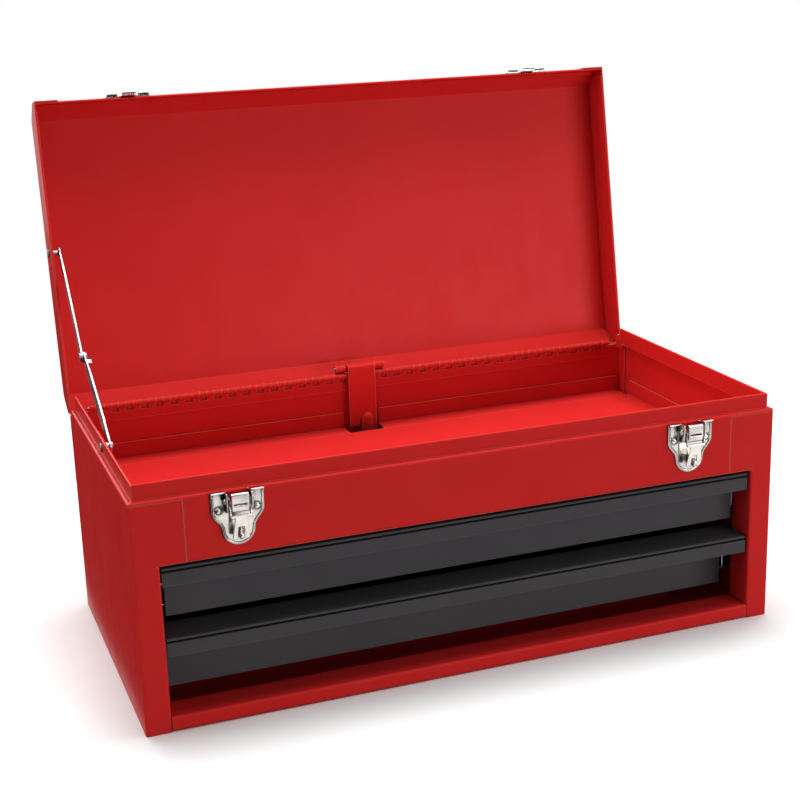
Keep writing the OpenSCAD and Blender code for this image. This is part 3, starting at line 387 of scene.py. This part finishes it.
for side, sign in (("left", -1), ("right", 1)):
    shape = bmesh.new()
    outline = [shape.verts.new((sign * TAB_X * MM, y * MM, z * MM)) for y, z in TAB_OUTLINE]
    grown = bmesh.ops.extrude_face_region(shape, geom=[shape.faces.new(outline)])
    outer = [v for v in grown["geom"] if isinstance(v, bmesh.types.BMVert)]
    bmesh.ops.translate(shape, verts=outer, vec=(sign * TAB_T * MM, 0, 0))
    bmesh.ops.recalc_face_normals(shape, faces=shape.faces)
    tab = mesh_object("rim_tab_" + side, shape, RED)
    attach(tab, "box")
    print(tab.name, len(tab.data.polygons), "faces")

# %% [markdown]
# ## Studio
#
# The floor and the backdrop are one pale sweep, flat under the box and curved up behind it, so that
# no line shows between them: its profile is drawn once and extruded sideways. Paper in a real studio
# also throws light back at the object from below. Here it looks white to the camera and to anything
# that mirrors it, and diffuse rays find it darker, so it doesn't wash the object out. Near the box
# it is ordinary paper, which takes the shadow.

# %% Paper
PAPER_WHITE = 0.86


def seen_directly(add):
    """1 for camera, glossy and transmission rays and 0 for the rest."""
    rays = add("ShaderNodeLightPath").outputs
    seen = rays["Is Camera Ray"]
    for kind in ("Is Glossy Ray", "Is Transmission Ray"):
        seen = add("ShaderNodeMath", {"operation": "MAXIMUM"}, i0=seen, i1=rays[kind]).outputs[0]
    return seen


def paper_material(name, near, far, bounce):
    """White paper that takes a shadow up to near, in metres, and glows plain white beyond far."""
    material = bpy.data.materials.new(name)
    material.use_nodes = True
    material.node_tree.nodes.clear()
    add = node_adder(material.node_tree)
    seen = seen_directly(add)
    coords = add("ShaderNodeTexCoord").outputs["Object"]
    distance = add("ShaderNodeVectorMath", {"operation": "LENGTH"}, i0=coords).outputs["Value"]
    fade = add("ShaderNodeMapRange", {"interpolation_type": "SMOOTHSTEP"}, i0=distance, i1=near, i2=far)
    paper = add("ShaderNodeBsdfDiffuse", Color=value_between(add, seen, bounce, PAPER_WHITE))
    glow = add("ShaderNodeEmission", Strength=value_between(add, seen, bounce, 1.0))
    blend = add("ShaderNodeMixShader", i0=fade.outputs[0], i1=paper.outputs[0], i2=glow.outputs[0])
    add("ShaderNodeOutputMaterial", Surface=blend.outputs[0])
    return material


# %% Floor and backdrop, in metres
HALF, BEND, WALL = 4.0, 1.5, 3.0
BEND_TURNS = [math.radians(6 * i) for i in range(16)]

profile = [(-HALF, 0.0)]
profile += [(HALF - BEND + BEND * math.sin(a), BEND - BEND * math.cos(a)) for a in BEND_TURNS]
profile += [(HALF, WALL)]
shape = bmesh.new()
corners = [shape.verts.new((-HALF, y, z)) for y, z in profile]
line = [shape.edges.new(pair) for pair in zip(corners, corners[1:])]
grown = bmesh.ops.extrude_edge_only(shape, edges=line)
far_side = [v for v in grown["geom"] if isinstance(v, bmesh.types.BMVert)]
bmesh.ops.translate(shape, verts=far_side, vec=(2 * HALF, 0, 0))
paper = paper_material("studio_paper", near=0.6, far=1.3, bounce=0.25)
floor = mesh_object("studio_floor", shape, paper, smooth=True)
print(floor.name, len(floor.data.polygons), "faces")

# %% [markdown]
# In a white studio, black card is placed around shiny things. Two cards lie on the floor, at the left
# and in front, and three stand further away. Only glossy rays find them, so they neither show nor
# take light away. They keep the white studio out of the enamel's sheen, and give the nickel something
# dark to mirror.

# %% Black cards
CARD_BLACK = (0.004, 0.004, 0.004, 1)


def black_card(name, low, high):
    """A card between two corners: flat on the floor, or upright where the corners share x or y."""
    a, b = Vector(low), Vector(high)
    along_x = a.y == b.y or a.z == b.z
    side = Vector((b.x - a.x, 0, 0) if along_x else (0, b.y - a.y, 0))
    shape = bmesh.new()
    shape.faces.new([shape.verts.new(corner) for corner in (a, a + side, b, b - side)])
    material = bpy.data.materials.new(name)
    material.use_nodes = True
    shader = material.node_tree.nodes["Principled BSDF"]
    shader.inputs["Base Color"].default_value = CARD_BLACK
    shader.inputs["Specular IOR Level"].default_value = 0.0
    card = mesh_object(name, shape, material)
    card.visible_camera = card.visible_diffuse = False
    card.visible_shadow = card.visible_transmission = False


black_card("card_left", low=(-2.0, -0.8, 0.002), high=(-0.265, 2.0, 0.002))
black_card("card_front", low=(-2.0, -3.2, 0.002), high=(2.0, -0.66, 0.002))
black_card("flag_front", low=(-2.6, -3.3, 0.0), high=(2.6, -3.3, 1.8))
black_card("flag_left", low=(-2.9, -2.6, 0.0), high=(-2.9, 2.6, 1.8))
black_card("flag_right", low=(2.9, -2.6, 0.0), high=(2.9, 2.6, 1.8))

# %% [markdown]
# Four soft lamps light the box: a large one overhead, which makes the floor of the tray the brightest
# surface, one low in front, and weaker ones at the left and behind. Small lamps would give hard
# shadows and bright spots on the enamel. The world fills the rest, and is white where it is seen.

# %% Lamps, world and view
WORLD_FILL = 0.28


def softbox(name, place, aim, size, power):
    """A rectangular lamp, in metres and watts, that faces its aim."""
    data = bpy.data.lights.new(name, "AREA")
    data.shape = "RECTANGLE"
    data.size, data.size_y = size
    data.energy = power
    lamp = bpy.data.objects.new(name, data)
    lamp.location = place
    lamp.rotation_euler = (Vector(aim) - Vector(place)).to_track_quat("-Z", "Y").to_euler()
    bpy.context.scene.collection.objects.link(lamp)


softbox("overhead", place=(0.1, 0.3, 1.9), aim=(0, 0.1, 0.1), size=(1.7, 1.0), power=58)
softbox("front", place=(1.3, -2.25, 0.42), aim=(0, 0, 0.1), size=(1.8, 0.6), power=35)
softbox("left", place=(-2.4, 0.1, 0.7), aim=(0, 0, 0.12), size=(1.0, 0.8), power=20)
softbox("back", place=(-0.5, 2.7, 0.9), aim=(0, 0, 0.12), size=(1.6, 0.8), power=20)

world = bpy.context.scene.world or bpy.data.worlds.new("studio_world")
bpy.context.scene.world = world
world.use_nodes = True
add_air = node_adder(world.node_tree)
background = world.node_tree.nodes["Background"]
background.inputs["Color"].default_value = (1, 1, 1, 1)
world_level = value_between(add_air, seen_directly(add_air), WORLD_FILL, 1.0)
world.node_tree.links.new(world_level, background.inputs["Strength"])
bpy.context.scene.view_settings.view_transform = "Standard"

# %% [markdown]
# The camera stands to the left of the front and looks down a little, with a very slight roll. Its
# axes are worked out from those three angles, which is exact where aiming it at a point would leave
# the roll open.

# %% Camera
AZIMUTH, ELEVATION, ROLL = math.radians(-19.95), math.radians(16.49), math.radians(-1.78)
CAMERA_PLACE = (-0.4178, -1.1201, 0.5399)
SENSOR_MM, LENS_MM = 36, 68.62

level = Vector((math.sin(AZIMUTH), -math.cos(AZIMUTH), 0)) * math.cos(ELEVATION)
back = level + Vector((0, 0, math.sin(ELEVATION)))
right = Vector((math.cos(AZIMUTH), math.sin(AZIMUTH), 0))
up = back.cross(right)
rolled_right = math.cos(ROLL) * right + math.sin(ROLL) * up
rolled_up = -math.sin(ROLL) * right + math.cos(ROLL) * up
camera_data = bpy.data.cameras.new("camera")
camera_data.sensor_width = SENSOR_MM
camera_data.lens = LENS_MM
camera_data.clip_start = 0.05
camera = bpy.data.objects.new("camera", camera_data)
turn = Matrix((rolled_right, rolled_up, back)).transposed().to_4x4()
camera.matrix_world = Matrix.Translation(CAMERA_PLACE) @ turn
bpy.context.scene.collection.objects.link(camera)
bpy.context.scene.camera = camera
print("camera at", [round(v, 4) for v in camera.location])
